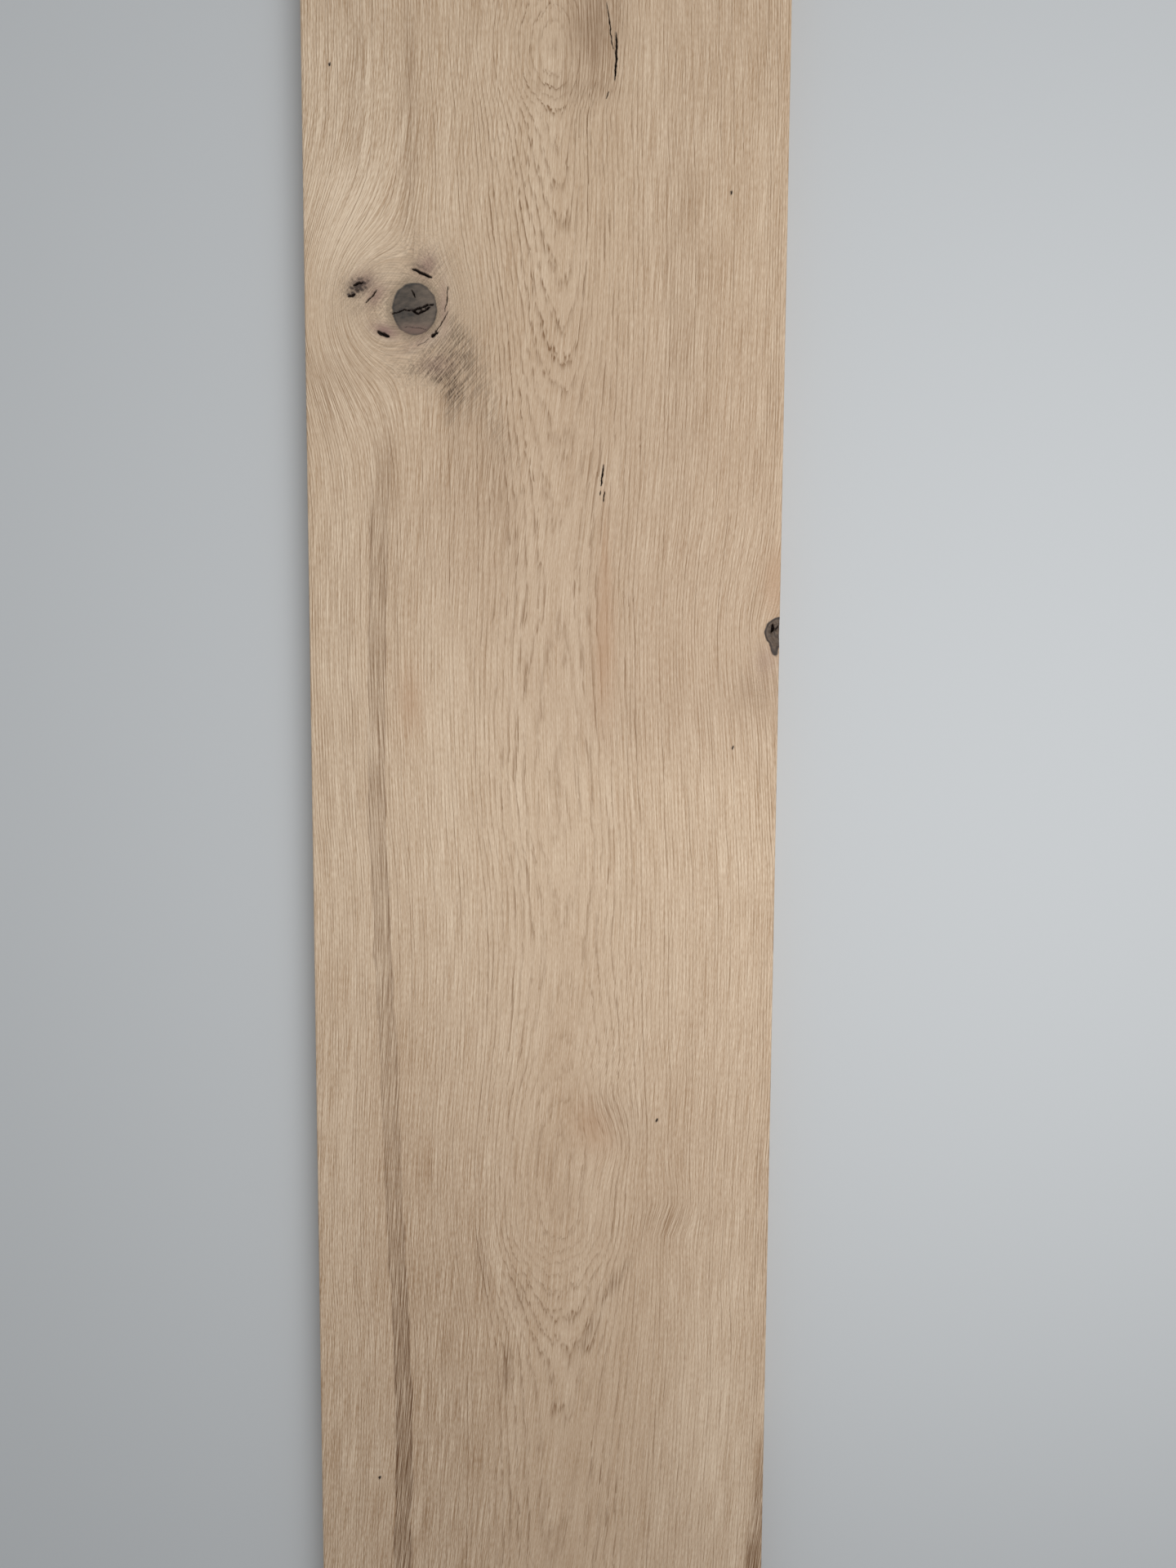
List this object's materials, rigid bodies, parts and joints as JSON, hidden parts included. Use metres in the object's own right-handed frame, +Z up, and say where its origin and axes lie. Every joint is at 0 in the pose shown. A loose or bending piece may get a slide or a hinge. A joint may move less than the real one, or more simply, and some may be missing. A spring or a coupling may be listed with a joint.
{
  "type": "oak plank",
  "caption": "Flat square-edged oak board, planed, with eased long edges, a round knot, a cut edge knot and drying checks, for flooring, cladding or shelving.",
  "frame": {"origin": "middle of the underside, so the plank lies on Z = 0", "axes": "+Y along the grain, +X across the width, +Z up out of the best face"},
  "size_m": [0.22, 2, 0.02],
  "materials": {
    "oak": "bare planed and lightly brushed oak, rustic grade"
  },
  "bodies": {
    "root": {"oak_plank": "oak"}
  },
  "joints": []
}
